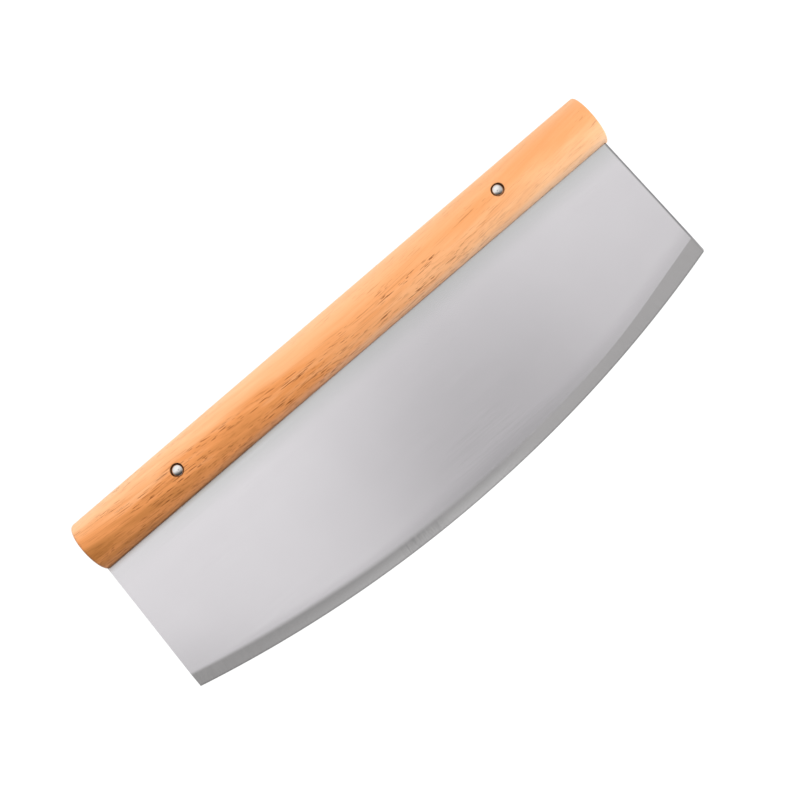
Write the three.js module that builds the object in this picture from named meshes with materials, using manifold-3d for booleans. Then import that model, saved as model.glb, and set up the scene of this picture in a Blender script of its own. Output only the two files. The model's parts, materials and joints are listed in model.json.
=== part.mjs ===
// A pizza rocker knife: a wide steel blade with a curved cutting edge, set in a saw kerf along a
// round wooden handle and held there by two cutler's rivets, each a stud pressed into a sleeve.
//
// Units are millimetres. The knife is drawn in its own frame, with the origin in the middle of the
// handle's axis: X runs along the handle, Y through the blade's thickness towards its back face,
// and Z from the cutting edge up to the handle. It is then laid on its back face, so that the
// handle and the middle of the edge touch the plane Z = 0.

import * as THREE from 'three';
import { mergeVertices } from 'three/addons/utils/BufferGeometryUtils.js';
import Module from 'manifold-3d';

const wasm = await Module();
wasm.setup();

// Handle: a dowel with rounded ends, which stand a little past the ends of the blade
const handleDiameter = 30.6;
const leftOverhang = 0.5;
const rightOverhang = 1.9;
const leftEndRound = 1.6;
const rightEndRound = 0.9;

// Blade: a plate whose lower edge is an arc, ground to a bevel on both faces
const bladeLength = 350;
const bladeThickness = 1.5;
const bladeEndHeight = 79.2;
const edgeSagitta = 21.7;
const bevelWidth = 7.2;
const edgeThickness = 0.3;
const tangMargin = 4;

// Rivets: placed from the ends of the handle, each a little off the handle's axis, as drilled by hand
const rivetInset = 64.4;
const leftRivetRise = -2;
const rightRivetRise = 0.4;
const headDiameter = 6.5;
const headRim = 0.3;
const headCrown = 1.1;
const counterboreDepth = 1.9;
const shankDiameter = 4.4;
const sleeveWall = 0.7;
const pinEndGap = 1.5;

// Clearances: between pieces that touch on the real knife, and round a rivet's head
const fitGap = 0.3;
const headGap = 0.5;

// Fineness of the facets
const handleSides = 64;
const rivetSides = 32;
const arcSteps = 2;
const edgeFacet = 7.5;

// Sizes worked out from those above
const handleRadius = handleDiameter / 2;
const handleLength = leftOverhang + bladeLength + rightOverhang;
const handleEnd = handleLength / 2;
const bladeX = (leftOverhang - rightOverhang) / 2;
const halfThickness = bladeThickness / 2;
const halfEdge = edgeThickness / 2;
const edgeReach = handleRadius + bladeEndHeight + edgeSagitta;
const edgeRadius = (bladeLength ** 2 / 4 + edgeSagitta ** 2) / (2 * edgeSagitta);
const holeRadius = shankDiameter / 2 + fitGap;
const tangTop = Math.max(leftRivetRise, rightRivetRise) + holeRadius + tangMargin;
const headRadius = headDiameter / 2;
const headSeat = handleRadius - counterboreDepth + fitGap;
const headCrest = headSeat + headRim + headCrown;
const domeRadius = (headRadius ** 2 + headCrown ** 2) / (2 * headCrown);
const domeAngle = Math.asin(headRadius / domeRadius);
const rivetX = handleEnd - rivetInset;
const rivets = [
  { side: 'left', x: -rivetX, z: leftRivetRise },
  { side: 'right', x: rivetX, z: rightRivetRise },
];

const wood = new THREE.MeshStandardMaterial({ color: 0xeda568, roughness: 0.55, metalness: 0 });
const satinSteel = new THREE.MeshStandardMaterial({ color: 0xc9c8ca, roughness: 0.38, metalness: 1 });
const polishedSteel = new THREE.MeshStandardMaterial({ color: 0xd6d3d0, roughness: 0.16, metalness: 1 });

// The solid inside a closed geometry, with its shared corners merged and its empty triangles dropped
function solidOf(geometry) {
  geometry.deleteAttribute('normal');
  geometry.deleteAttribute('uv');
  const merged = mergeVertices(geometry);
  const corners = merged.index.array;
  const triangles = [];
  for (let i = 0; i < corners.length; i += 3) {
    const [a, b, c] = corners.slice(i, i + 3);
    if (a !== b && b !== c && c !== a) triangles.push(a, b, c);
  }
  const vertProperties = new Float32Array(merged.attributes.position.array);
  const triVerts = new Uint32Array(triangles);
  return new wasm.Manifold(new wasm.Mesh({ numProp: 3, vertProperties, triVerts }));
}

function namedMesh(name, solid, material) {
  const { vertProperties, triVerts } = solid.getMesh();
  const geometry = new THREE.BufferGeometry();
  geometry.setAttribute('position', new THREE.BufferAttribute(vertProperties, 3));
  geometry.setIndex(new THREE.BufferAttribute(triVerts, 1));
  geometry.computeVertexNormals();
  const mesh = new THREE.Mesh(geometry, material);
  mesh.name = name;
  return mesh;
}

// A box centred on Y and on a place along X, between two heights
function upright(x, length, thickness, bottom, top) {
  const box = new THREE.BoxGeometry(length, thickness, top - bottom);
  return solidOf(box.translate(x, 0, (bottom + top) / 2));
}

// A cylinder along Y that starts at one depth and ends at another, on a rivet's axis
function bore(radius, start, end, rivet) {
  const cylinder = new THREE.CylinderGeometry(radius, radius, end - start, rivetSides);
  return solidOf(cylinder.translate(rivet.x, (start + end) / 2, rivet.z));
}

// The dowel, turned about its own axis with a quarter round at each end
function handleBlank() {
  const outline = new THREE.Path();
  outline.moveTo(0, -handleEnd);
  outline.lineTo(handleRadius - leftEndRound, -handleEnd);
  outline.absarc(handleRadius - leftEndRound, leftEndRound - handleEnd, leftEndRound, -Math.PI / 2, 0);
  outline.absarc(handleRadius - rightEndRound, handleEnd - rightEndRound, rightEndRound, 0, Math.PI / 2);
  outline.lineTo(0, handleEnd);
  const dowel = new THREE.LatheGeometry(outline.getPoints(arcSteps), handleSides);
  return solidOf(dowel.rotateZ(-Math.PI / 2));
}

// The dowel with its kerf, open along the underside and at both ends, and the rivets' stepped holes
function handle() {
  const kerfWidth = bladeThickness + 2 * fitGap;
  const past = handleDiameter;
  let solid = handleBlank();
  solid = solid.subtract(upright(0, handleLength + past, kerfWidth, -past, tangTop + fitGap));
  const floor = handleRadius - counterboreDepth;
  for (const rivet of rivets) {
    solid = solid.subtract(bore(holeRadius, -past, past, rivet));
    solid = solid.subtract(bore(headRadius + headGap, -past, -floor, rivet));
    solid = solid.subtract(bore(headRadius + headGap, floor, past, rivet));
  }
  return namedMesh('handle', solid, wood);
}

// The face of the blade below the handle: the lowest part of a wide disc with a bevelled rim
function bladeFace(top) {
  const rim = [
    [0, -halfThickness],
    [edgeRadius - bevelWidth, -halfThickness],
    [edgeRadius, -halfEdge],
    [edgeRadius, halfEdge],
    [edgeRadius - bevelWidth, halfThickness],
    [0, halfThickness],
  ].map(([radius, depth]) => new THREE.Vector2(radius, depth));
  const sides = 2 * Math.round((Math.PI * edgeRadius) / edgeFacet);
  const disc = new THREE.LatheGeometry(rim, sides);
  const bottom = -edgeReach - bladeThickness;
  const slab = upright(bladeX, bladeLength, 2 * bladeThickness, bottom, top);
  return solidOf(disc.translate(bladeX, 0, edgeRadius - edgeReach)).intersect(slab);
}

// The face and, inside the kerf, the tang that the rivets pass through
function blade() {
  const faceTop = -handleRadius - fitGap;
  const tang = upright(bladeX, bladeLength, bladeThickness, faceTop - bladeThickness, tangTop);
  let solid = bladeFace(faceTop).add(tang);
  for (const rivet of rivets) {
    solid = solid.subtract(bore(holeRadius, -bladeThickness, bladeThickness, rivet));
  }
  return namedMesh('blade', solid, satinSteel);
}

// The half of a rivet at the front of the knife: a domed head on a plain pin
function rivetStud(side) {
  const pinRadius = shankDiameter / 2 - sleeveWall - fitGap;
  const outline = new THREE.Path();
  outline.absarc(0, domeRadius - headCrest, domeRadius, -Math.PI / 2, domeAngle - Math.PI / 2);
  outline.lineTo(headRadius, -headSeat);
  outline.lineTo(pinRadius, -headSeat);
  outline.lineTo(pinRadius, headSeat - pinEndGap);
  outline.lineTo(0, headSeat - pinEndGap);
  const turned = new THREE.LatheGeometry(outline.getPoints(arcSteps), rivetSides);
  return namedMesh(`${side}_rivet_stud`, solidOf(turned), polishedSteel);
}

// The half at the back: the same head on a tube, bored from its open end as far as the head
function rivetSleeve(side) {
  const shankRadius = shankDiameter / 2;
  const outline = new THREE.Path();
  outline.moveTo(0, headSeat);
  outline.lineTo(shankRadius - sleeveWall, headSeat);
  outline.lineTo(shankRadius - sleeveWall, fitGap - headSeat);
  outline.lineTo(shankRadius, fitGap - headSeat);
  outline.lineTo(shankRadius, headSeat);
  outline.lineTo(headRadius, headSeat);
  outline.absarc(0, headCrest - domeRadius, domeRadius, Math.PI / 2 - domeAngle, Math.PI / 2);
  const turned = new THREE.LatheGeometry(outline.getPoints(arcSteps), rivetSides);
  return namedMesh(`${side}_rivet_sleeve`, solidOf(turned), polishedSteel);
}

// The whole knife in its own frame
function knife() {
  const group = new THREE.Group();
  group.add(handle(), blade());
  for (const { side, x, z } of rivets) {
    const rivet = new THREE.Group();
    rivet.position.set(x, 0, z);
    rivet.add(rivetStud(side), rivetSleeve(side));
    group.add(rivet);
  }
  return group;
}

// Lying down, the blade leans from the handle's axis to the lower corner of its edge
const layAngle = Math.asin(handleRadius / Math.hypot(edgeReach, halfEdge)) - Math.atan2(halfEdge, edgeReach);
const edgeSpan = edgeReach * Math.cos(layAngle) + halfEdge * Math.sin(layAngle);
const rockerKnife = knife();
rockerKnife.rotation.x = layAngle - Math.PI / 2;
rockerKnife.position.set(0, (edgeSpan - handleRadius) / 2, handleRadius);

const part = new THREE.Group();
part.add(rockerKnife);

export default part;
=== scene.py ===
"""Dresses a pizza rocker knife: a wooden dowel, a satin steel blade with a ground edge and two two-part
rivets, lying on a pale floor in soft studio light.

Shapes are worked out in millimetres in the knife's own frame, whose origin is the middle of the handle's
axis: X runs along the handle, Y through the blade from its front face to its back, and Z from the cutting
edge up to the handle. placed() turns them into the metres of the loaded frame.
"""
import json
from math import pi, radians

import bpy
import numpy as np
from mathutils import Matrix, Vector


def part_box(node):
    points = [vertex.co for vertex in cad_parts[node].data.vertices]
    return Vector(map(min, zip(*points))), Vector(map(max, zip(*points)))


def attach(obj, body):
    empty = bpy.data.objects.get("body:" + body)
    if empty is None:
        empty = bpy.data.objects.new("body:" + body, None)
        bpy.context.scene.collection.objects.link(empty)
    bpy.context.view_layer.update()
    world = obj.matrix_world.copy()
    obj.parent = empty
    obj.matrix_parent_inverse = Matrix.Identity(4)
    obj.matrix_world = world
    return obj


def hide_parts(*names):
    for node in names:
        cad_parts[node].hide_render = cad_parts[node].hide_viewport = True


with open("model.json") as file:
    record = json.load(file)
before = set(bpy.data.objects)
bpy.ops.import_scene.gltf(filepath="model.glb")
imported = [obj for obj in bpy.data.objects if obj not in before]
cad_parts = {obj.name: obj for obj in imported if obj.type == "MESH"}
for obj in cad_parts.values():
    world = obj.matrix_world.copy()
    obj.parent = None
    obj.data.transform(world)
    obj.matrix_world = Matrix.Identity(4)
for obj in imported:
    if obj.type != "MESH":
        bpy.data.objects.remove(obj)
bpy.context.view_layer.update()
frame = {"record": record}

MM = 0.001

# Handle: a dowel with rounded ends and a kerf along its underside
HANDLE_RADIUS = 15.3
HANDLE_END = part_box("handle")[1].x / MM
LEFT_END_ROUND = 1.6
RIGHT_END_ROUND = 0.9
KERF_HALF = 0.8
KERF_TOP = 7.2
KERF_LIP = 0.3
END_FACE_INSET = 0.03

# Blade: a plate whose lower edge is an arc, ground on both faces
BLADE_LEFT, BLADE_RIGHT = (corner.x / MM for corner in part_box("blade"))
BLADE_MIDDLE = (BLADE_LEFT + BLADE_RIGHT) / 2
BLADE_REACH = (BLADE_RIGHT - BLADE_LEFT) / 2
BLADE_HALF = 0.75
END_CHAMFER = 0.65
END_CHAMFER_DEPTH = 0.35
END_CHAMFER_GROWS_BELOW = -55.0
END_CHAMFER_GROWS_OVER = 35.0
END_CHAMFER_MOST = 0.8
CORNER_ROUND = 1.2
TANG_TOP = 6.9
EDGE_REACH = 116.2
EDGE_SAGITTA = 21.7
EDGE_HALF = 0.15
BEVEL_WIDTH = 7.2
LEFT_WIDENING = 0.5
LEFT_WIDENING_FROM = -50.0
LEFT_WIDENING_REACH = 60.0
RIGHT_WIDENING = 2.3
RIGHT_WIDENING_FROM = 95.0
RIGHT_WIDENING_REACH = 70.0
SHOULDER_CRISP = 0.25
SHOULDER_SOFT = 0.95
SHOULDER_SOFT_AT = -80.0
SHOULDER_SOFT_REACH = 120.0
EDGE_RADIUS = (BLADE_REACH ** 2 + EDGE_SAGITTA ** 2) / (2 * EDGE_SAGITTA)
ARC_CENTRE = EDGE_RADIUS - EDGE_REACH

# Rivets: a domed head on a pin at the front, and the same head on a tube at the back
RIVET_RISE = {"left": -2.0, "right": 0.4}
RIVET_HEAD = 3.25
RIVET_SEAT = 13.7
RIVET_CREST = 15.1
RIVET_SHANK = 2.2
RIVET_PIN = 1.2
RIVET_TUBE_BORE = 1.5
RIVET_TUBE_MOUTH = -13.4
RIVET_PIN_END = 12.2
DOME_POWER = 2.0
BORE_RADIUS = 2.5
COUNTERBORE_RADIUS = 3.75
COUNTERBORE_FLOOR = 13.4
COUNTERBORE_LIP = 0.22
COUNTERBORE_LIT = 0.8

# Blocks of the grids that a rivet's hole is cut through
BLOCK_HALF = 6.5
SKIN_BLOCK = (radians(60), radians(116))
FLAT_BLOCK = (-6.0, 5.5)
BLOCK_ROWS = 14
BLOCK_COLUMNS = 28

# Meshes
WELD = 1e-4
SHARP_ANGLE = radians(25)
ROUND_STEPS = 8
HANDLE_ROW = 2.5
BLADE_ROW = 2.0
TURNED_STEPS = 64
DOME_STEPS = 32

# Columns of the blade's grid: level ones on the tang, then the face, then crowded ones about the shoulder
LEVEL_END = -16
LEVEL_STEPS = 4
FACE_STEPS = 20
SHOULDER_STEPS = 24
SHOULDER_BAND = 9
CROWDED_ABOVE = 0.12
CROWDED_BELOW = 0.14

# The knife's axes in the frame: it lies on its back, its handle's axis one radius above the floor
FACE = next(mount for mount in frame["record"]["mounts"] if mount["name"] == "front_face")
ALONG = np.array([1.0, 0.0, 0.0])
THROUGH = -np.array(FACE["axis"])
UPWARD = np.cross(ALONG, THROUGH)
KNIFE_AXES = np.stack([ALONG, THROUGH, UPWARD])
AXIS_CENTRE = np.array([0.0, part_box("handle")[1].y / MM - HANDLE_RADIUS, HANDLE_RADIUS])
LAY_TURN = np.arctan2(THROUGH[2], THROUGH[1])

# Camera, fitted to the knife's outlines in an image of 800 by 800 pixels
IMAGE_PIXELS = 800
FOCAL_PIXELS = 1246.49
SENSOR = 36.0
CAMERA_TURN = radians(1.851)
CAMERA_TILT = radians(8.287)
CAMERA_ROLL = radians(41.026)
CAMERA_DISTANCE = 662.63
CAMERA_AIM = (BLADE_MIDDLE, 0.0, -50.0)
CAMERA_SLIDE = (39.399, -18.751)
LENS_SHIFT = (-74.85, -32.33)


def placed(points):
    """Knife millimetres to frame metres: the handle's centre plus each coordinate along its own axis."""
    return (AXIS_CENTRE + points @ KNIFE_AXES) * MM


def rivet_place(side):
    """A rivet's (x, z) in the knife's frame: x from the middle of its CAD node, z as drilled."""
    low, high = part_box(side + "_rivet_stud")
    return np.array([(low.x + high.x) / 2 / MM, RIVET_RISE[side]])


RIVETS = {side: rivet_place(side) for side in RIVET_RISE}


# Meshes from grids of points

def joined(*spans):
    """One row of values from (start, stop, steps) spans laid end to end, each stop being the next start."""
    parts = [np.linspace(start, stop, steps, endpoint=False) for start, stop, steps in spans]
    return np.concatenate(parts + [[spans[-1][1]]])


def smooth_step(value):
    """0 up to the value 0, 1 from the value 1, and a cubic curve that is level at both ends between."""
    share = np.clip(value, 0, 1)
    return share ** 2 * (3 - 2 * share)


def welded(grids):
    """Corners and faces of one mesh. A grid is an array of rows by columns by 3, with a mask of the quads
    to keep, or None for all: a quad's normal is its row direction crossed with its column direction.
    Points that round to the same place become one corner, and a quad that loses a corner a triangle."""
    points, quads, count = [], [], 0
    for grid, keep in grids:
        number = count + np.arange(grid.shape[0] * grid.shape[1]).reshape(grid.shape[:2])
        corners = np.stack([number[:-1, :-1], number[1:, :-1], number[1:, 1:], number[:-1, 1:]], -1)
        quads.append(corners.reshape(-1, 4) if keep is None else corners[keep])
        points.append(grid.reshape(-1, 3))
        count += number.size
    points = np.concatenate(points)
    places, first, same = np.unique(np.round(points / WELD), axis=0, return_index=True, return_inverse=True)
    same = same.reshape(-1)
    quads = same[np.concatenate(quads)]
    doubled = quads == np.roll(quads, -1, axis=1)
    whole = quads[~doubled.any(axis=1)]
    pinched = doubled.sum(axis=1) == 1
    triangles = quads[pinched][~doubled[pinched]].reshape(-1, 3)
    used = np.unique(np.concatenate([whole.ravel(), triangles.ravel()]))
    renumber = np.zeros(len(places), int)
    renumber[used] = np.arange(len(used))
    return points[first][used], renumber[whole].tolist() + renumber[triangles].tolist()


def piece_of(name, shape, material, node):
    """A piece with its place in its mesh, standing for one CAD node and riding on the knife's one body."""
    corners, faces = shape
    mesh = bpy.data.meshes.new(name)
    mesh.from_pydata(placed(corners).tolist(), [], faces)
    mesh.polygons.foreach_set("use_smooth", np.ones(len(faces), bool))
    mesh.set_sharp_from_angle(angle=SHARP_ANGLE)
    mesh.materials.append(material)
    piece = bpy.data.objects.new(name, mesh)
    bpy.context.scene.collection.objects.link(piece)
    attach(piece, "root")
    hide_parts(node)
    return piece


def point_values(piece, name, values):
    """Stores one number or one vector for each corner of a piece's mesh."""
    kind, field = ("FLOAT", "value") if values.ndim == 1 else ("FLOAT_VECTOR", "vector")
    attribute = piece.data.attributes.new(name, kind, "POINT")
    attribute.data.foreach_set(field, values.astype(np.float32).ravel())


# Holes for the rivets

def block_loop(across, upright):
    """The rim of a block of a grid: one closed loop of (x, z) points, clockwise as seen from the front."""
    left = np.stack([np.full_like(upright, across[0]), upright], -1)
    top = np.stack([across, np.full_like(across, upright[-1])], -1)
    right = np.stack([np.full_like(upright, across[-1]), upright], -1)[::-1]
    bottom = np.stack([across, np.full_like(across, upright[0])], -1)[::-1]
    return np.concatenate([left[:-1], top[:-1], right[:-1], bottom])


def bearings(loop, centre):
    """Unit (x, z) steps from a hole's centre towards each point of a loop round it."""
    steps = loop - centre
    return steps / np.linalg.norm(steps, axis=1, keepdims=True)


def collar(loop, centre, radius, depth_of):
    """The skin round a hole: each point slides in a straight line from the block's rim to the hole's
    circle, and its depth y is that of the surface at its height z."""
    share = np.linspace(0, 1, ROUND_STEPS + 1)[:, None, None]
    flat = (1 - share) * loop + share * (centre + radius * bearings(loop, centre))
    return np.stack([flat[..., 0], depth_of(flat[..., 1]), flat[..., 1]], -1)


def rings(loop, centre, radii, depths):
    """Circles down a hole, one for each radius; a depth y may change round its circle."""
    flat = centre + radii[:, None, None] * bearings(loop, centre)
    depths = np.broadcast_to(depths, flat.shape[:2])
    return np.stack([flat[..., 0], depths, flat[..., 1]], -1)


def block_rows(centre):
    """The x values of a block's rows, from one side of a hole to the other."""
    return np.linspace(centre[0] - BLOCK_HALF, centre[0] + BLOCK_HALF, BLOCK_ROWS + 1)


def outside_blocks(grid, deep, low, high):
    """True for the quads of a grid that no rivet's block takes: a block's quads lie near the rivet in x,
    between two heights z, and where the test on their depth y holds."""
    middle = (grid[:-1, :-1] + grid[1:, :-1] + grid[1:, 1:] + grid[:-1, 1:]) / 4
    keep = np.ones(middle.shape[:2], bool)
    for centre in RIVETS.values():
        near = np.abs(middle[..., 0] - centre[0]) < BLOCK_HALF
        level = (middle[..., 2] > low) & (middle[..., 2] < high)
        keep &= ~(near & level & deep(np.abs(middle[..., 1])))
    return keep


def row_spans(start, stop, step):
    """x from one end to the other with an even step, and a block of finer rows at each rivet."""
    left, right = RIVETS["left"][0], RIVETS["right"][0]
    before, between, after = left - BLOCK_HALF, left + BLOCK_HALF, right + BLOCK_HALF
    return joined(
        (start, before, int((before - start) / step)),
        (before, between, BLOCK_ROWS),
        (between, right - BLOCK_HALF, int((right - BLOCK_HALF - between) / step)),
        (right - BLOCK_HALF, after, BLOCK_ROWS),
        (after, stop, int((stop - after) / step)),
    )


# Handle

def handle_section(radius):
    """The dowel's section at each radius in a column array, as (y, z) points round a closed loop: the skin
    is a circle from one lip of the kerf over the top to the other, each lip is a quadratic curve, and the
    kerf's walls run up to its flat top."""
    full_lip = np.arcsin((KERF_HALF + KERF_LIP) / HANDLE_RADIUS)
    low, high = SKIN_BLOCK
    angles = joined(
        (full_lip, low, BLOCK_COLUMNS),
        (low, high, BLOCK_COLUMNS),
        (high, 2 * pi - high, 2 * BLOCK_COLUMNS),
        (2 * pi - high, 2 * pi - low, BLOCK_COLUMNS),
        (2 * pi - low, 2 * pi - full_lip, BLOCK_COLUMNS),
    )
    lip = np.arcsin((KERF_HALF + KERF_LIP) / radius)
    turned = pi + (angles - pi) * (pi - lip) / (pi - full_lip)
    skin = np.stack([-radius * np.sin(turned), -radius * np.cos(turned)], -1)

    corner = -np.sqrt(radius ** 2 - KERF_HALF ** 2)
    share = np.linspace(0, 1, ROUND_STEPS + 1)[1:]
    lip_y = KERF_HALF + KERF_LIP * (1 - share) ** 2 + 0 * radius
    lip_z = (1 - share) ** 2 * skin[:, -1:, 1] + 2 * share * (1 - share) * corner
    lip_z = lip_z + share ** 2 * (corner + KERF_LIP)

    below = lip_z[:, -1:] + (FLAT_BLOCK[0] - lip_z[:, -1:]) * share
    above = joined((*FLAT_BLOCK, BLOCK_COLUMNS), (FLAT_BLOCK[1], KERF_TOP, 1))[1:] + 0 * radius
    back = np.stack([lip_y, lip_z], -1)
    wall_z = np.concatenate([below, above], axis=1)
    wall = np.stack([np.full_like(wall_z, KERF_HALF), wall_z], -1)
    kerf = np.concatenate([back, wall], axis=1)
    mirrored = (kerf * [-1, 1])[:, ::-1]
    return np.concatenate([skin, kerf, mirrored, skin[:, :1]], axis=1)


def end_round(radius):
    """How far out along x and how far in from the skin each row of a rounded end lies: a quarter circle."""
    turn = np.linspace(0, pi / 2, ROUND_STEPS + 1)[1:]
    return radius * np.sin(turn), radius * (1 - np.cos(turn))


def end_face(loop):
    """A flat end of the dowel: a strip between its skin and its kerf, which both run from the front lip
    over the top to the back lip, each point of the skin joined to the point as far along the kerf. A row
    close to the skin keeps the shading of the rest flat."""
    skin_points = 6 * BLOCK_COLUMNS + 1
    skin = loop[:skin_points]
    kerf = loop[skin_points - 1:][::-1]
    partner = np.round(np.linspace(0, len(kerf) - 1, skin_points)).astype(int)
    share = np.array([0, END_FACE_INSET, 1])[:, None, None]
    return (1 - share) * skin + share * kerf[partner]


def handle_shape():
    """The dowel as rows of sections along x: full radius between the ends, where it falls along a round,
    and a flat face at each end."""
    left_out, left_fall = end_round(LEFT_END_ROUND)
    right_out, right_fall = end_round(RIGHT_END_ROUND)
    straight = row_spans(LEFT_END_ROUND - HANDLE_END, HANDLE_END - RIGHT_END_ROUND, HANDLE_ROW)
    x = np.concatenate([straight[0] - left_out[::-1], straight, straight[-1] + right_out])
    fall = np.concatenate([left_fall[::-1], np.zeros(len(straight)), right_fall])

    section = handle_section(HANDLE_RADIUS - fall[:, None])
    grid = np.concatenate([np.broadcast_to(x[:, None, None], section.shape[:2] + (1,)), section], -1)
    skin_low, skin_high = -HANDLE_RADIUS * np.cos(SKIN_BLOCK)
    keep = outside_blocks(grid, lambda depth: depth > HANDLE_RADIUS / 2, skin_low, skin_high)
    keep &= outside_blocks(grid, lambda depth: depth < 2 * KERF_HALF, *FLAT_BLOCK)

    grids = [(grid, keep), (end_face(grid[0])[::-1], None), (end_face(grid[-1]), None)]
    for centre in RIVETS.values():
        front = handle_hole(centre)
        grids += [(front, None), ((front * [1, -1, 1])[::-1], None)]
    return welded(grids)


def skin_depth(z):
    """The depth y of the dowel's front at a height z: minus the root of radius squared less z squared."""
    return -np.sqrt(HANDLE_RADIUS ** 2 - z ** 2)


def handle_hole(centre):
    """The front half of a rivet's hole through the wood: skin, rounded mouth, counterbore, its floor, the
    bore and the kerf's wall round it, as one sheet of loops."""
    across = block_rows(centre)
    angles = np.linspace(*SKIN_BLOCK, BLOCK_COLUMNS + 1)
    outer = block_loop(across, -HANDLE_RADIUS * np.cos(angles))
    inner = block_loop(across, np.linspace(*FLAT_BLOCK, BLOCK_COLUMNS + 1))

    mouth = COUNTERBORE_RADIUS + COUNTERBORE_LIP
    skin = collar(outer, centre, mouth, skin_depth)
    turn = np.linspace(0, pi / 2, ROUND_STEPS + 1)[1:, None]
    lip_depth = skin[-1, :, 1] + COUNTERBORE_LIP * (1 - np.cos(turn))
    lip = rings(outer, centre, mouth - COUNTERBORE_LIP * np.sin(turn[:, 0]), lip_depth)
    floor = rings(outer, centre, np.array([COUNTERBORE_RADIUS, BORE_RADIUS]), -COUNTERBORE_FLOOR)
    kerf = collar(inner, centre, BORE_RADIUS, lambda z: np.full_like(z, -KERF_HALF))[::-1]
    return np.concatenate([skin, lip, floor, kerf])


def hole_shade_share(points):
    """How much painted shade darkens the wood at each point: 0 on the skin and 1 in the kerf and the holes,
    but less on the lower wall of a counterbore, which the light reaches."""
    depth = HANDLE_RADIUS - np.hypot(points[:, 1], points[:, 2])
    inside = (depth > 2 * COUNTERBORE_LIP) & (np.abs(points[:, 0]) < HANDLE_END - LEFT_END_ROUND)
    share = inside.astype(float)
    for centre in RIVETS.values():
        from_axis = points[:, [0, 2]] - centre
        near = np.linalg.norm(from_axis, axis=1) < COUNTERBORE_RADIUS + COUNTERBORE_LIP
        share -= near * share * COUNTERBORE_LIT * smooth_step(-from_axis[:, 1] / COUNTERBORE_RADIUS)
    return share


# Blade

def bevel_width(x):
    """The bevel's width at a place along the blade: as ground by hand, it grows towards both ends."""
    left = LEFT_WIDENING * smooth_step((LEFT_WIDENING_FROM - x) / LEFT_WIDENING_REACH)
    right = RIGHT_WIDENING * smooth_step((x - RIGHT_WIDENING_FROM) / RIGHT_WIDENING_REACH)
    return BEVEL_WIDTH + left + right


def shoulder_spread(x):
    """Half the width over which the bevel's shoulder is eased: soft left of the middle, as a bell curve,
    and crisp towards the right end."""
    return SHOULDER_CRISP + SHOULDER_SOFT * np.exp(-((x - SHOULDER_SOFT_AT) / SHOULDER_SOFT_REACH) ** 2)


def half_thickness(x, inward):
    """Half the plate's thickness at a distance inward from the edge: a straight ramp up the bevel, eased
    into the flat by a parabola as wide as the shoulder's spread to each side."""
    width = bevel_width(x)
    slope = (BLADE_HALF - EDGE_HALF) / width
    past = inward - width
    spread = shoulder_spread(x)
    eased = BLADE_HALF - slope * (spread - past) ** 2 / (4 * spread)
    ramp = BLADE_HALF + slope * past
    return np.where(past > spread, BLADE_HALF, np.where(past < -spread, ramp, eased))


def blade_rows():
    """The x of each row: even, then close together on the chamfer of the right end."""
    chamfer = np.linspace(BLADE_RIGHT - 2 * END_CHAMFER, BLADE_RIGHT, 2 * ROUND_STEPS + 1)
    return np.concatenate([row_spans(BLADE_LEFT, chamfer[0], BLADE_ROW), chamfer[1:]])


def end_chamfer(x, z):
    """How deep each face is cut at the blade's right end: a straight slope that grows twice as wide towards
    the cutting edge."""
    from_end = BLADE_RIGHT - x
    growth = smooth_step((END_CHAMFER_GROWS_BELOW - z) / END_CHAMFER_GROWS_OVER)
    width = END_CHAMFER * (1 + growth)
    return END_CHAMFER_DEPTH * np.clip(1 - from_end / width, 0, 1)


def corner_rise(x):
    """How far the edge is drawn in at the blade's right corner, which is rounded by a quarter circle."""
    from_end = np.clip(BLADE_RIGHT - x, 0, CORNER_ROUND)
    return CORNER_ROUND - np.sqrt(CORNER_ROUND ** 2 - (CORNER_ROUND - from_end) ** 2)


def crowded(straight):
    """Steps from 0 to 1 that lie close together at 0: a straight share, and the rest grows as a cube."""
    step = np.linspace(0, 1, SHOULDER_STEPS + 1)
    return straight * step + (1 - straight) * step ** 3


def blade_side(x):
    """Height z and half thickness of one side of the plate, rows along x by columns from the tang's top
    down to the edge: level lines on the tang, lines that bend towards the arc on the face, arcs about the
    bevel's shoulder, and a half round along the edge itself."""
    x = x[:, None]
    width = bevel_width(x)
    level = joined(
        (TANG_TOP, FLAT_BLOCK[1], 1),
        (*FLAT_BLOCK[::-1], BLOCK_COLUMNS),
        (FLAT_BLOCK[0], LEVEL_END, LEVEL_STEPS),
    )
    above = width + SHOULDER_BAND * crowded(CROWDED_ABOVE)[::-1]
    below = width - (width - EDGE_HALF) * crowded(CROWDED_BELOW)[1:]
    roll = np.linspace(0, pi / 2, ROUND_STEPS + 1)[1:]
    rim = EDGE_HALF * (1 - np.sin(roll)) + 0 * x
    inward = np.concatenate([above, below, rim], axis=1)
    inward = inward + corner_rise(x) * np.clip(1 - inward / width, 0, 1)
    arcs = ARC_CENTRE - np.sqrt((EDGE_RADIUS - inward) ** 2 - (x - BLADE_MIDDLE) ** 2)
    share = np.linspace(0, 1, FACE_STEPS + 1)[1:-1]
    face = (1 - share) * level[-1] + share * arcs[:, :1]
    z = np.concatenate([level + 0 * x, face, arcs], axis=1)

    half = half_thickness(x, EDGE_RADIUS - np.hypot(x - BLADE_MIDDLE, z - ARC_CENTRE))
    half[:, -len(roll):] *= np.cos(roll)
    return z, half - np.minimum(end_chamfer(x, z), END_CHAMFER_MOST * half)


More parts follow.
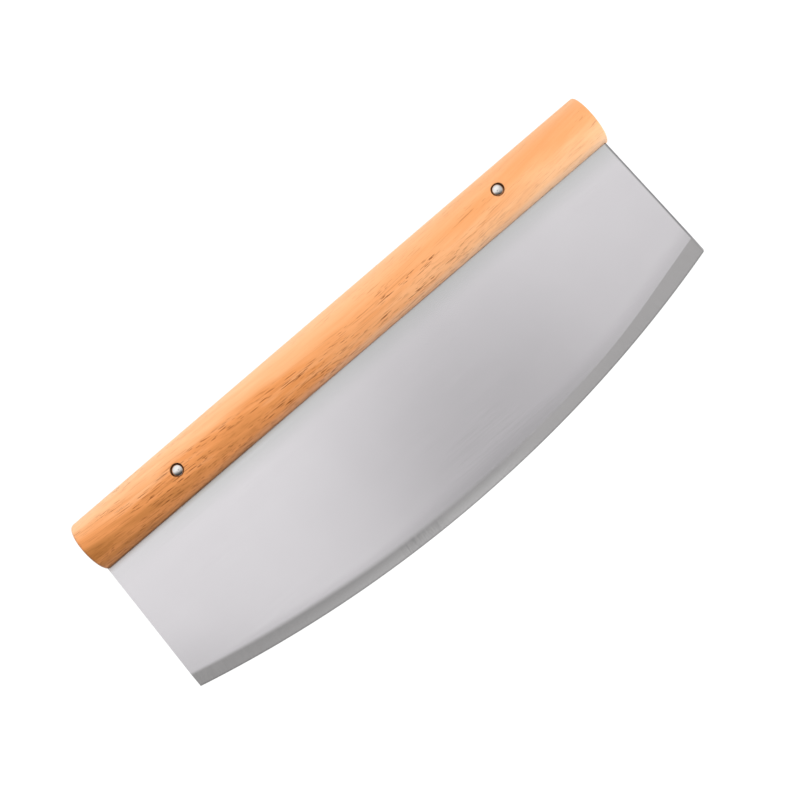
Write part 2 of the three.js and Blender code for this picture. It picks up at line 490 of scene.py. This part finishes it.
def blade_shape():
    """The plate: down its back, round the edge and up its front, row by row, with a strip across each end
    and a round hole through the tang at each rivet."""
    x = blade_rows()
    z, half = blade_side(x)
    wide = np.broadcast_to(x[:, None], z.shape)
    back = np.stack([wide, half, z], -1)
    front = np.stack([wide, -half, z], -1)
    grid = np.concatenate([back, front[:, -2::-1], back[:, :1]], axis=1)
    keep = outside_blocks(grid, lambda depth: depth > BLADE_HALF / 2, *FLAT_BLOCK)
    left_end = np.stack([front[0], back[0]])
    right_end = np.stack([front[-1], back[-1]])[:, ::-1]
    grids = [(grid, keep), (left_end, None), (right_end, None)]
    for centre in RIVETS.values():
        loop = block_loop(block_rows(centre), np.linspace(*FLAT_BLOCK, BLOCK_COLUMNS + 1))
        hole = collar(loop, centre, BORE_RADIUS, lambda z: np.full_like(z, -BLADE_HALF))
        grids.append((np.concatenate([hole, (hole * [1, -1, 1])[::-1]]), None))
    return welded(grids)


def edge_run(points):
    """For each point: the way along the cutting edge, the way in from it, and the way in from the bevel's
    shoulder."""
    x = points[:, 0]
    offset = x - BLADE_MIDDLE
    down = ARC_CENTRE - points[:, 2]
    inward = EDGE_RADIUS - np.hypot(offset, down)
    return np.stack([EDGE_RADIUS * np.arctan2(offset, down), inward, inward - bevel_width(x)], -1)


def ground_share(points):
    """How far each point is ground: 0 on the flat, 1 on the bevel, a slope over the shoulder's spread."""
    spread = shoulder_spread(points[:, 0])
    return np.clip((spread - edge_run(points)[:, 2]) / (2 * spread), 0, 1)


# Rivets

def turned(profile, centre):
    """A surface of revolution about a line along Y: each (radius, y) is carried round a circle."""
    angle = np.linspace(0, 2 * pi, TURNED_STEPS + 1)
    radius = profile[:, :1]
    x = centre[0] + radius * np.cos(angle)
    z = centre[1] + radius * np.sin(angle)
    y = np.broadcast_to(profile[:, 1:], x.shape)
    return welded([(np.stack([x, y, z], -1), None)])


def dome():
    """A rivet head's (radius, height) from its rim to its crest: a quarter of a superellipse, which stands
    upright at the rim and is level at the crest."""
    turn = np.linspace(0, pi / 2, DOME_STEPS + 1)
    radius = RIVET_HEAD * np.cos(turn) ** (2 / DOME_POWER)
    height = RIVET_SEAT + (RIVET_CREST - RIVET_SEAT) * np.sin(turn) ** (2 / DOME_POWER)
    radius[-1] = 0
    return np.stack([radius, height], -1)


def stud_shape(centre):
    """The front half: the head's dome, its underside and a plain pin with a square end."""
    head = (dome() * [1, -1])[::-1]
    pin = np.array([
        (RIVET_PIN, -RIVET_SEAT),
        (RIVET_PIN, RIVET_PIN_END),
        (0, RIVET_PIN_END),
    ])
    return turned(np.concatenate([head, pin]), centre)


def sleeve_shape(centre):
    """The back half: a blind tube, its open mouth towards the front, and the same head."""
    tube = np.array([
        (0, RIVET_SEAT),
        (RIVET_TUBE_BORE, RIVET_SEAT),
        (RIVET_TUBE_BORE, RIVET_TUBE_MOUTH),
        (RIVET_SHANK, RIVET_TUBE_MOUTH),
        (RIVET_SHANK, RIVET_SEAT),
    ])
    return turned(np.concatenate([tube, dome()]), centre)


# Shader nodes

STREAK_ROUGHNESS = 0.6
MOTTLE_DETAIL = 2.0
MOTTLE_ROUGHNESS = 0.5


def add(tree, kind, inputs, **settings):
    """A node of this kind. Inputs are given by name or number; one that is a socket is linked."""
    made = tree.nodes.new("ShaderNode" + kind)
    for name, setting in settings.items():
        setattr(made, name, setting)
    for name, value in inputs.items():
        if isinstance(value, bpy.types.NodeSocket):
            tree.links.new(value, made.inputs[name])
        else:
            made.inputs[name].default_value = value
    return made


def sums(tree, operation, *values):
    """The output of a Math node."""
    return add(tree, "Math", dict(enumerate(values)), operation=operation).outputs[0]


def vector_sums(tree, operation, *values):
    """The output of a Vector Math node."""
    return add(tree, "VectorMath", dict(enumerate(values)), operation=operation).outputs[0]


def ramped(tree, value, start, stop, low=0.0, high=1.0):
    """A smooth step of a value: low at start, high at stop."""
    inputs = {"Value": value, "From Min": start, "From Max": stop, "To Min": low, "To Max": high}
    return add(tree, "MapRange", inputs, interpolation_type="SMOOTHSTEP").outputs[0]


def mixed(tree, share, first, second, blend="MIX"):
    """Two colours mixed by a share from 0 to 1."""
    node = add(tree, "Mix", {0: share, 6: first, 7: second}, data_type="RGBA", blend_type=blend)
    return node.outputs[2]


def group_of(name, inputs, outputs):
    """An empty node group with these sockets, and its inner input and output nodes."""
    tree = bpy.data.node_groups.new(name, "ShaderNodeTree")
    for label, kind in inputs.items():
        tree.interface.new_socket(name=label, in_out="INPUT", socket_type="NodeSocket" + kind)
    for label, kind in outputs.items():
        tree.interface.new_socket(name=label, in_out="OUTPUT", socket_type="NodeSocket" + kind)
    return tree, tree.nodes.new("NodeGroupInput"), tree.nodes.new("NodeGroupOutput")


def streaks_group():
    """Long thin lines along X: noise on coordinates divided by the lines' length and width."""
    inputs = {"Vector": "Vector", "Length": "Float", "Width": "Float", "Detail": "Float"}
    tree, given, out = group_of("streaks", inputs, {"Lines": "Float"})
    vector, length, width, detail = given.outputs[:4]
    size = add(tree, "CombineXYZ", {0: length, 1: width, 2: width}).outputs[0]
    stretched = vector_sums(tree, "DIVIDE", vector, size)
    settings = {"Vector": stretched, "Scale": 1.0, "Detail": detail, "Roughness": STREAK_ROUGHNESS}
    noise = add(tree, "TexNoise", settings)
    tree.links.new(noise.outputs[0], out.inputs[0])
    return tree


def mottle_group():
    """Soft patches of a given size: noise on coordinates divided by it."""
    tree, given, out = group_of("mottle", {"Vector": "Vector", "Size": "Float"}, {"Patches": "Float"})
    vector, width = given.outputs[:2]
    size = add(tree, "CombineXYZ", {0: width, 1: width, 2: width}).outputs[0]
    scaled = vector_sums(tree, "DIVIDE", vector, size)
    settings = {"Vector": scaled, "Scale": 1.0, "Detail": MOTTLE_DETAIL, "Roughness": MOTTLE_ROUGHNESS}
    noise = add(tree, "TexNoise", settings)
    tree.links.new(noise.outputs[0], out.inputs[0])
    return tree


STREAKS = streaks_group()
MOTTLE = mottle_group()


def streaks(tree, vector, length, width, detail=3.0):
    """The streaks group placed in a material."""
    inputs = {"Vector": vector, "Length": length, "Width": width, "Detail": detail}
    return add(tree, "Group", inputs, node_tree=STREAKS).outputs[0]


def mottle(tree, vector, size):
    """The mottle group placed in a material."""
    return add(tree, "Group", {"Vector": vector, "Size": size}, node_tree=MOTTLE).outputs[0]


def material_of(name):
    """A new material, its tree and its Principled shader."""
    material = bpy.data.materials.new(name)
    material.use_nodes = True
    return material, material.node_tree, material.node_tree.nodes["Principled BSDF"]


def knife_coordinates(tree):
    """Object coordinates turned into the knife's frame, in millimetres."""
    place = add(tree, "TexCoord", {}).outputs["Object"]
    inputs = {
        "Vector": place,
        "Location": AXIS_CENTRE * MM,
        "Rotation": (LAY_TURN, 0, 0),
        "Scale": (MM, MM, MM),
    }
    return add(tree, "Mapping", inputs, vector_type="TEXTURE").outputs[0]


def bumped(tree, shader, height, distance):
    """A bump of the given depth in metres on a shader's normal."""
    bump = add(tree, "Bump", {"Height": height, "Distance": distance})
    tree.links.new(bump.outputs[0], shader.inputs["Normal"])


# Wood: a pale, orange or deep shade, fibres, and the short dark lines of cut pores. Here and for the steel,
# a ramp's values are its start, its stop and what it gives there, or its start and stop alone, and a
# streak's are its length, its width and its detail. Places are in millimetres in the knife's frame.

WOOD_DEEP = (0.349, 0.133, 0.034, 1)
WOOD_ORANGE = (0.579, 0.226, 0.072, 1)
WOOD_PALE = (0.765, 0.455, 0.254, 1)
# Grey of the steel, painted on the wood's lower rim as a reflection
WOOD_STEEL_REFLECTION = (0.42, 0.4, 0.37, 1)
PORE_TINT = (0.28, 0.18, 0.1, 1)
# Near black of the painted shade in the kerf and the holes
WOOD_HOLE_SHADE = (0.022, 0.009, 0.004, 1)
GRAIN_BEND = 0.00036
GRAIN_BEND_AT = 15.0
LOG_PLACE = (1260.0, 23.5, 47.0)
WANDER_SCALE = (0.008, 0.03, 0.03)
WANDER_REACH = (0, 7, 7)

SHADE_UP = (-3.4, 15.8, 0.587, 0.898)
SHADE_LEAN = (-16.0, 6.8, 0.00279, -0.00017)
SHADE_RIGHT = (20.0, 170.0, 0.0, -0.085)
BACK_PAINTED_SHADE = (-1.0, 6.0, 0.0, -0.3)
SHADE_LEFT_END = (-176.0, -135.0, -0.2, 0.0)
LEFT_END_LOW = (-13.0, -7.0)
LEFT_END_HIGH = (2.0, 12.0)
LAYERS = (120.0, 7.0, 1.0)
LAYER_SHADE = (0.25, 0.75, -0.03, 0.03)
PATCHES = (30.0, 3.5, 1.0)
PATCH_SHADE = (0.25, 0.75, -1.0, 1.0)
PATCHES_ALONG = (-110.0, 0.0, 0.15, 0.05)
PATCHES_UP = (-5.0, 5.0, 1.0, 0.4)

LOWER_PORES = (30.0, 130.0, 1.1, 0.45)
UPPER_PORES = (-120.0, -40.0, 0.75, 0.28)
PORES_CHANGE = (-5.0, 5.0)
CROWDS = (50.0, 6.0, 1.0)
CROWD_EDGES = (0.46, 0.60)
RIM_CROWD = (-13.0, -4.0, 0.7, 0.0)
BOLD_PORES = (12.0, 0.5, 0.5)
BOLD_DEPTH = (0.67, 0.70, 0.0, 0.9)
SMALL_PORES = (7.0, 0.42, 0.5)
SMALL_DEPTH = (0.66, 0.70, 0.0, 0.85)
HAIRLINES = (40.0, 0.55, 2.0)
HAIR_DEPTH = (0.52, 0.72, 0.0, 0.3)

# Where the painted reflection of the steel greys the wood's lower rim
STEEL_REFLECTION_RIM = (-14.8, -12.5)
STEEL_REFLECTION_ALONG = (-130.0, 0.0, 0.05, 0.22)
# Where painted shade darkens the wood's lower rim at the blade
CONTACT_SHADE_RIM = (-15.25, -14.7)
CONTACT_SHADE_ALONG = (-110.0, 10.0, 0.45, 0.02)
# How dark the painted shade in the kerf and the holes is
HOLE_SHADE_DARKNESS = 0.95
WOOD_SPECULAR = 0.2
FIBRES = (45.0, 0.55)
FIBRE_ROUGHNESS = (0.3, 0.7, 0.42, 0.55)
FIBRE_HEIGHT = 0.3
WOOD_BUMP = 0.00006


def grain_coordinates(tree, place):
    """The wood's own coordinates: fibres that dip along a parabola about one place and wander."""
    log = vector_sums(tree, "ADD", place, LOG_PLACE)
    slow = vector_sums(tree, "MULTIPLY", log, WANDER_SCALE)
    noise = add(tree, "TexNoise", {"Vector": slow, "Scale": 1.0, "Detail": 1.0})
    wander = vector_sums(tree, "SUBTRACT", noise.outputs["Color"], (0.5, 0.5, 0.5))
    grain = vector_sums(tree, "ADD", log, vector_sums(tree, "MULTIPLY", wander, WANDER_REACH))
    offset = sums(tree, "SUBTRACT", add(tree, "SeparateXYZ", {0: place}).outputs[0], GRAIN_BEND_AT)
    dip = sums(tree, "MULTIPLY", sums(tree, "MULTIPLY", offset, offset), GRAIN_BEND)
    return vector_sums(tree, "SUBTRACT", grain, add(tree, "CombineXYZ", {2: dip}).outputs[0])


def wood_shade(tree, place, grain):
    """How pale the wood is, from 0 deep through 0.5 orange to 1 pale: paler towards the handle's top and,
    on its lower side, towards the right, and deeper at its right end and about the middle of its left end;
    its back, which faces the floor, is deeper by painted shade; layers and patches along the grain break
    the change up."""
    x, y, z = add(tree, "SeparateXYZ", {0: place}).outputs
    layers = ramped(tree, streaks(tree, grain, *LAYERS), *LAYER_SHADE)
    patches = ramped(tree, streaks(tree, grain, *PATCHES), *PATCH_SHADE)
    lean = sums(tree, "MULTIPLY", x, ramped(tree, z, *SHADE_LEAN))
    shade = sums(tree, "ADD", ramped(tree, z, *SHADE_UP), lean)
    shade = sums(tree, "ADD", shade, ramped(tree, x, *SHADE_RIGHT))
    # Painted shade: the back, which faces the floor, made deeper
    shade = sums(tree, "ADD", shade, ramped(tree, y, *BACK_PAINTED_SHADE))
    left_end = ramped(tree, x, *SHADE_LEFT_END)
    left_end = ramped(tree, z, *LEFT_END_LOW, 0.0, left_end)
    shade = sums(tree, "ADD", shade, ramped(tree, z, *LEFT_END_HIGH, left_end, 0.0))
    shade = sums(tree, "ADD", shade, layers)
    lively = sums(tree, "MULTIPLY", ramped(tree, x, *PATCHES_ALONG), ramped(tree, z, *PATCHES_UP))
    return sums(tree, "MULTIPLY_ADD", patches, lively, shade)


def wood_pores(tree, place, grain):
    """How far pores are cut open: crowds of thin spindles of two sizes, and fine hairlines all over,
    deepest on the lower side left of the middle and faint on the upper side and towards the right end."""
    x, _, z = add(tree, "SeparateXYZ", {0: place}).outputs
    lower = ramped(tree, x, *LOWER_PORES)
    upper = ramped(tree, x, *UPPER_PORES)
    crowd = ramped(tree, streaks(tree, grain, *CROWDS), *CROWD_EDGES)
    crowd = sums(tree, "MAXIMUM", crowd, ramped(tree, z, *RIM_CROWD))
    bold = ramped(tree, streaks(tree, grain, *BOLD_PORES), *BOLD_DEPTH)
    small = ramped(tree, streaks(tree, grain, *SMALL_PORES), *SMALL_DEPTH)
    spindles = sums(tree, "MULTIPLY", sums(tree, "MAXIMUM", bold, small), crowd)
    hair = ramped(tree, streaks(tree, grain, *HAIRLINES), *HAIR_DEPTH)
    cut = sums(tree, "MAXIMUM", spindles, hair)
    return sums(tree, "MULTIPLY", cut, ramped(tree, z, *PORES_CHANGE, lower, upper))


def oiled_wood():
    """Solid wood that is the same all through, so that its grain runs on over the ends and into the holes.
    Its lower rim is greyed by a painted reflection of the steel, and painted shade darkens it where the
    blade goes in and in the kerf and the holes."""
    material, tree, shader = material_of("oiled_wood")
    place = knife_coordinates(tree)
    x, _, z = add(tree, "SeparateXYZ", {0: place}).outputs
    grain = grain_coordinates(tree, place)
    shade = wood_shade(tree, place, grain)
    colour = mixed(tree, sums(tree, "MULTIPLY", shade, 2.0), WOOD_DEEP, WOOD_ORANGE)
    colour = mixed(tree, sums(tree, "MULTIPLY_ADD", shade, 2.0, -1.0), colour, WOOD_PALE)
    # Painted reflection: the lower rim greyed as if it mirrored the steel below
    steel_reflection = ramped(tree, z, *STEEL_REFLECTION_RIM, ramped(tree, x, *STEEL_REFLECTION_ALONG), 0.0)
    colour = mixed(tree, steel_reflection, colour, WOOD_STEEL_REFLECTION)
    pores = wood_pores(tree, place, grain)
    colour = mixed(tree, pores, colour, PORE_TINT, "MULTIPLY")
    # Painted shade in the kerf and the holes, lighter on a counterbore's lit lower wall
    hole_shade = add(tree, "Attribute", {}, attribute_name="hole_shade").outputs["Fac"]
    # Painted shade along the wood's lower rim where the blade goes in
    contact_shade = ramped(tree, z, *CONTACT_SHADE_RIM, ramped(tree, x, *CONTACT_SHADE_ALONG), 0.0)
    dark = sums(tree, "MAXIMUM", sums(tree, "MULTIPLY", hole_shade, HOLE_SHADE_DARKNESS), contact_shade)
    tree.links.new(mixed(tree, dark, colour, WOOD_HOLE_SHADE), shader.inputs["Base Color"])
    shader.inputs["Specular IOR Level"].default_value = WOOD_SPECULAR

    fibres = streaks(tree, grain, *FIBRES)
    tree.links.new(ramped(tree, fibres, *FIBRE_ROUGHNESS), shader.inputs["Roughness"])
    height = sums(tree, "SUBTRACT", sums(tree, "MULTIPLY", fibres, FIBRE_HEIGHT), pores)
    bumped(tree, shader, height, WOOD_BUMP)
    return material


# Steel: the blade's satin plate with its ground bevel, and the rivets' polished heads

PLATE_COLOURS = ((0.576, 0.558, 0.577, 1), (0.605, 0.586, 0.606, 1))
# Greenish grey of the painted shade on the plate below the handle
PLATE_UNDER_HANDLE_SHADE = (0.2, 0.27, 0.21, 1)
# Dark colour of the plate's painted shade, and of the bevel's chattered and honed lines
PLATE_DULL_AND_SHADE = (0.2, 0.2, 0.2, 1)
PLATE_SHADOW = (0.2, 0.14, 0.09, 1)
BEVEL_COLOURS = ((0.404, 0.394, 0.394, 1), (0.439, 0.429, 0.429, 1))
# Painted light towards the edge and painted shade under the shoulder, for a hollow grind
HOLLOW_SHADE_COLOURS = ((0.49, 0.482, 0.482, 1), (0.362, 0.355, 0.355, 1))
POLISH_COLOURS = ((0.60, 0.58, 0.56, 1), (0.70, 0.68, 0.66, 1))

PLATE_PATCH = 30.0
# Where painted shade darkens the plate below the handle
UNDER_HANDLE_SHADE_UP = (-30.0, -15.3)
UNDER_HANDLE_SHADE_ALONG = (-170.0, -100.0, 0.08, 0.24)
# Painted shade above the bevel's shoulder, standing in for a rounded shoulder
SHOULDER_SHADE_WIDTH = (-80.0, -10.0, 6.0, 10.0)
SHOULDER_SHADE_SHARE = 0.19
# How far the plate darkens towards its lower left corner
DARK_CORNER_HEIGHT = 30.0
DARK_CORNER_ALONG = (-175.0, -120.0, 0.16, 0.0)
# Painted shade along the plate's right end
RIGHT_END_SHADE = (BLADE_RIGHT - 1.6, BLADE_RIGHT - 0.4, 0.0, 0.7)
SHADOW_UP = (-18.8, -14.6)
SHADOW_ALONG = (-110.0, 10.0, 0.45, 0.03)

GRINDING_EDGES = (0.35, 0.65)
# Where the hollow grind's painted light and shade lie
HOLLOW_SHADE_UP = (1.0, 7.0)
HOLLOW_SHADE_STARTS = (-185.0, -60.0)
HOLLOW_SHADE_ENDS = (10.0, 50.0, 1.0, 0.0)
CHATTER_STARTS = (-56.0, -44.0)
CHATTER_ENDS = (-30.0, -18.0, 1.0, 0.0)
CHATTER_LINES = (0.45, 0.6, 0.0, 0.35)
HONED_UP = (0.4, 0.8)
HONED_ALONG = (0.0, 80.0, 0.1, 0.3)
BRUSHING = (40.0, 0.3)
GRINDING = (9.0, 0.35)
PLATE_ROUGHNESS = (0.3, 0.7, 0.235, 0.265)
PLATE_BUMP = 0.0000004

SCRATCHES = (3.0, 0.08)
SMEAR_SIZE = 1.2
POLISH_ROUGHNESS = (0.3, 0.75, 0.16, 0.24)
POLISH_BUMP = 0.000002


def plate_colour(tree, place, past):
    """The satin plate: painted shade below the handle, above the bevel's shoulder and along its right end,
    darker in its lower left corner, and a painted shadow where it goes into the wood."""
    x, _, z = add(tree, "SeparateXYZ", {0: place}).outputs
    colour = mixed(tree, mottle(tree, place, PLATE_PATCH), *PLATE_COLOURS)
    # Painted shade below the handle
    under_handle_shade = ramped(tree, z, *UNDER_HANDLE_SHADE_UP, 0.0, ramped(tree, x, *UNDER_HANDLE_SHADE_ALONG))
    # Painted shade above the bevel's shoulder
    plate_darkening = ramped(tree, past, 0.0, ramped(tree, x, *SHOULDER_SHADE_WIDTH), SHOULDER_SHADE_SHARE, 0.0)
    # Darker towards the lower left corner
    corner = ramped(tree, past, 0.0, DARK_CORNER_HEIGHT, ramped(tree, x, *DARK_CORNER_ALONG), 0.0)
    plate_darkening = sums(tree, "MAXIMUM", plate_darkening, corner)
    # Painted shade along the right end
    cut = ramped(tree, x, *RIGHT_END_SHADE)
    colour = mixed(tree, under_handle_shade, colour, PLATE_UNDER_HANDLE_SHADE)
    colour = mixed(tree, sums(tree, "MAXIMUM", plate_darkening, cut), colour, PLATE_DULL_AND_SHADE)
    shadow = ramped(tree, z, *SHADOW_UP, 0.0, ramped(tree, x, *SHADOW_ALONG))
    return mixed(tree, shadow, colour, PLATE_SHADOW)


def bevel_colour(tree, x, inward, grinding):
    """The bevel: even at the right; left of the middle, for a hollow grind, painted shade under its shoulder
    and painted light towards the edge, with a chattered place, and a thin honed line along the edge."""
    even = mixed(tree, ramped(tree, grinding, *GRINDING_EDGES), *BEVEL_COLOURS)
    # Painted shade under the shoulder and painted light towards the edge, for a hollow grind
    hollow_shade = mixed(tree, ramped(tree, inward, *HOLLOW_SHADE_UP), *HOLLOW_SHADE_COLOURS)
    left = sums(tree, "MULTIPLY", ramped(tree, x, *HOLLOW_SHADE_STARTS), ramped(tree, x, *HOLLOW_SHADE_ENDS))
    colour = mixed(tree, left, even, hollow_shade)
    place = sums(tree, "MULTIPLY", ramped(tree, x, *CHATTER_STARTS), ramped(tree, x, *CHATTER_ENDS))
    chatter = sums(tree, "MULTIPLY", place, ramped(tree, grinding, *CHATTER_LINES))
    honed = ramped(tree, inward, *HONED_UP, ramped(tree, x, *HONED_ALONG), 0.0)
    return mixed(tree, sums(tree, "MAXIMUM", chatter, honed), colour, PLATE_DULL_AND_SHADE)


def satin_steel():
    """Satin plate, brushed along the blade; the bevel is ground across, in lines square to the edge."""
    material, tree, shader = material_of("satin_steel")
    place = knife_coordinates(tree)
    run = add(tree, "Attribute", {}, attribute_name="edge_run").outputs["Vector"]
    along, inward, past = add(tree, "SeparateXYZ", {0: run}).outputs
    ground = add(tree, "Attribute", {}, attribute_name="ground").outputs["Fac"]
    across = add(tree, "CombineXYZ", {0: inward, 1: along}).outputs[0]
    brushed = streaks(tree, place, *BRUSHING)
    grinding = streaks(tree, across, *GRINDING)
    lines = add(tree, "Mix", {0: ground, 2: brushed, 3: grinding}).outputs[0]
    x = add(tree, "SeparateXYZ", {0: place}).outputs[0]
    colour = mixed(tree, ground, plate_colour(tree, place, past), bevel_colour(tree, x, inward, grinding))
    tree.links.new(colour, shader.inputs["Base Color"])
    tree.links.new(ramped(tree, lines, *PLATE_ROUGHNESS), shader.inputs["Roughness"])
    shader.inputs["Metallic"].default_value = 1.0
    bumped(tree, shader, lines, PLATE_BUMP)
    return material


def polished_steel():
    """Polished rivet heads with fine scratches and faint smears."""
    material, tree, shader = material_of("polished_steel")
    place = knife_coordinates(tree)
    scratches = streaks(tree, place, *SCRATCHES)
    smears = mottle(tree, place, SMEAR_SIZE)
    tree.links.new(mixed(tree, smears, *POLISH_COLOURS), shader.inputs["Base Color"])
    tree.links.new(ramped(tree, scratches, *POLISH_ROUGHNESS), shader.inputs["Roughness"])
    shader.inputs["Metallic"].default_value = 1.0
    bumped(tree, shader, scratches, POLISH_BUMP)
    return material


# The knife's pieces

def dress_knife():
    """Every piece of the knife in place of its CAD node."""
    wood, plate, polish = oiled_wood(), satin_steel(), polished_steel()
    shape = handle_shape()
    handle = piece_of("handle_dowel", shape, wood, "handle")
    point_values(handle, "hole_shade", hole_shade_share(shape[0]))

    shape = blade_shape()
    blade = piece_of("blade_plate", shape, plate, "blade")
    point_values(blade, "edge_run", edge_run(shape[0]))
    point_values(blade, "ground", ground_share(shape[0]))

    for side, centre in RIVETS.items():
        stud = side + "_rivet_stud"
        sleeve = side + "_rivet_sleeve"
        piece_of(side + "_domed_stud", stud_shape(centre), polish, stud)
        piece_of(side + "_domed_sleeve", sleeve_shape(centre), polish, sleeve)


# Stage, light and camera

FLOOR_HALF = 6.0
FLOOR_DROP = 0.0001
FLOOR_COLOUR = (0.12, 0.12, 0.12, 1)
FLOOR_ROUGHNESS = 0.9
FLOOR_GLOW = 0.9
WHITE = (1, 1, 1, 1)


def pale_floor():
    """A plain white floor that glows evenly, so that the knife throws hardly any shadow."""
    low, high = -FLOOR_HALF, FLOOR_HALF
    corners = [(low, low, 0), (high, low, 0), (high, high, 0), (low, high, 0)]
    mesh = bpy.data.meshes.new("floor")
    mesh.from_pydata(corners, [], [(0, 1, 2, 3)])
    material, _, shader = material_of("pale_floor")
    shader.inputs["Base Color"].default_value = FLOOR_COLOUR
    shader.inputs["Roughness"].default_value = FLOOR_ROUGHNESS
    shader.inputs["Emission Color"].default_value = WHITE
    shader.inputs["Emission Strength"].default_value = FLOOR_GLOW
    mesh.materials.append(material)
    floor = bpy.data.objects.new("floor", mesh)
    floor.location.z = -FLOOR_DROP
    bpy.context.scene.collection.objects.link(floor)


# Directions and strengths of the sky: the edges of a light are cosines of the angle from its middle
SURROUND = (0.35, 0.94, 0.0)
SURROUND_EDGES = (-0.75, 0.15)
SURROUND_LIGHT = (0.08, 0.95)
BACK_LIGHT = (-0.229, 0.742, 0.630)
BACK_EDGES = (0.422, 1.0)
BACK_STRENGTH = 0.913
RING = (0.0, -0.084, 0.9965)
RING_EDGES = (0.977, 1.0)
RING_STRENGTH = 2.0
CAMERA_SPOT = (0.008, -0.052, 0.9986)
CAMERA_EDGES = (0.985, 0.9965)
CAMERA_DEPTH = 0.91
LOW_SKY_EDGES = (0.4, 0.88)
LOW_SKY_SHARE = 0.6
SKY_LIMIT = 1.4
BACKDROP_LIGHT = 1.05

# Soft boxes, and the card that only the blade mirrors: places and sizes in metres, power in watts
SOFTBOXES = {
    "key_softbox": {"place": (-0.3, 1.05, 1.05), "size": 0.9, "power": 13.0},
    "fill_softbox": {"place": (0.8, -1.3, 1.2), "size": 1.2, "power": 33.0},
    "low_softbox": {"place": (0.4, -0.4, 0.25), "size": 0.3, "power": 1.0},
}
CARD_PLACE = (0.0, -2.2, 1.3)
CARD_SIZE = 3.2
CARD_POWER = 14.0


def toward(tree, direction, place):
    """How far each direction of the sky points to a place: the cosine of the angle between them."""
    return add(tree, "VectorMath", {0: direction, 1: place}, operation="DOT_PRODUCT").outputs["Value"]


def studio_sky():
    """A pale surround, dark only in front of the edge, a broad light behind the handle, and overhead a
    small bright ring about the dark place where the camera stands. All of it fades towards the horizon, and
    the camera itself sees a plain backdrop."""
    world = bpy.data.worlds.new("studio")
    world.use_nodes = True
    tree = world.node_tree
    sky = tree.nodes["Background"]
    direction = add(tree, "TexCoord", {}).outputs["Generated"]
    surround = ramped(tree, toward(tree, direction, SURROUND), *SURROUND_EDGES, *SURROUND_LIGHT)
    back = ramped(tree, toward(tree, direction, BACK_LIGHT), *BACK_EDGES, 0.0, BACK_STRENGTH)
    ring = ramped(tree, toward(tree, direction, RING), *RING_EDGES, 0.0, RING_STRENGTH)
    shade = ramped(tree, toward(tree, direction, CAMERA_SPOT), *CAMERA_EDGES, 1.0, 1 - CAMERA_DEPTH)
    light = sums(tree, "MINIMUM", sums(tree, "ADD", surround, back), SKY_LIMIT)
    light = sums(tree, "MULTIPLY", sums(tree, "ADD", light, ring), shade)
    high = toward(tree, direction, (0, 0, 1))
    light = sums(tree, "MULTIPLY", light, ramped(tree, high, *LOW_SKY_EDGES, LOW_SKY_SHARE, 1.0))
    seen = add(tree, "LightPath", {}).outputs["Is Camera Ray"]
    light = add(tree, "Mix", {0: seen, 2: light, 3: BACKDROP_LIGHT}).outputs[0]
    tree.links.new(light, sky.inputs["Strength"])
    sky.inputs["Color"].default_value = WHITE
    bpy.context.scene.world = world


def softbox(name, place, size, power):
    """A square area light that looks at the middle of the blade from a place in metres. It lights the wood
    and the floor, but the steel doesn't mirror it."""
    data = bpy.data.lights.new(name, "AREA")
    data.size = size
    data.energy = power
    lamp = bpy.data.objects.new(name, data)
    lamp.location = place
    lamp.rotation_mode = "QUATERNION"
    lamp.rotation_quaternion = (-Vector(place)).to_track_quat("-Z", "Y")
    lamp.visible_glossy = False
    lamp.visible_camera = False
    bpy.context.scene.collection.objects.link(lamp)
    return lamp


def blade_card():
    """A wide card low in front of the edge, which lights the blade alone, so that it is pale from behind."""
    card = softbox("blade_card", CARD_PLACE, CARD_SIZE, CARD_POWER)
    card.visible_glossy = True
    card.light_linking.receiver_collection = bpy.data.collections.new("card_receivers")
    card.light_linking.receiver_collection.objects.link(bpy.data.objects["blade_plate"])


def camera():
    """The photograph's camera: turned about the knife's Z, tilted up, rolled, and set back from its aim."""
    ahead = np.array([
        np.sin(CAMERA_TURN) * np.cos(CAMERA_TILT),
        np.cos(CAMERA_TURN) * np.cos(CAMERA_TILT),
        np.sin(CAMERA_TILT),
    ])
    side = np.cross(ahead, [0, 0, 1])
    side /= np.linalg.norm(side)
    down = np.cross(ahead, side)
    right = np.cos(CAMERA_ROLL) * side + np.sin(CAMERA_ROLL) * down
    below = np.cos(CAMERA_ROLL) * down - np.sin(CAMERA_ROLL) * side
    aim = np.array(CAMERA_AIM) + CAMERA_SLIDE[0] * right + CAMERA_SLIDE[1] * below
    eye = placed(aim - CAMERA_DISTANCE * ahead)
    turn = np.eye(4)
    turn[:3, :3] = (np.stack([right, -below, -ahead]) @ KNIFE_AXES).T
    turn[:3, 3] = eye
    data = bpy.data.cameras.new("camera")
    data.sensor_width = SENSOR
    data.lens = SENSOR * FOCAL_PIXELS / IMAGE_PIXELS
    data.shift_x, data.shift_y = (pixels / IMAGE_PIXELS for pixels in LENS_SHIFT)
    made = bpy.data.objects.new("camera", data)
    made.matrix_world = Matrix(turn.tolist())
    bpy.context.scene.collection.objects.link(made)
    bpy.context.scene.camera = made


camera()
dress_knife()
pale_floor()
studio_sky()
for name, box in SOFTBOXES.items():
    softbox(name, **box)
blade_card()
bpy.context.scene.view_settings.view_transform = "Standard"
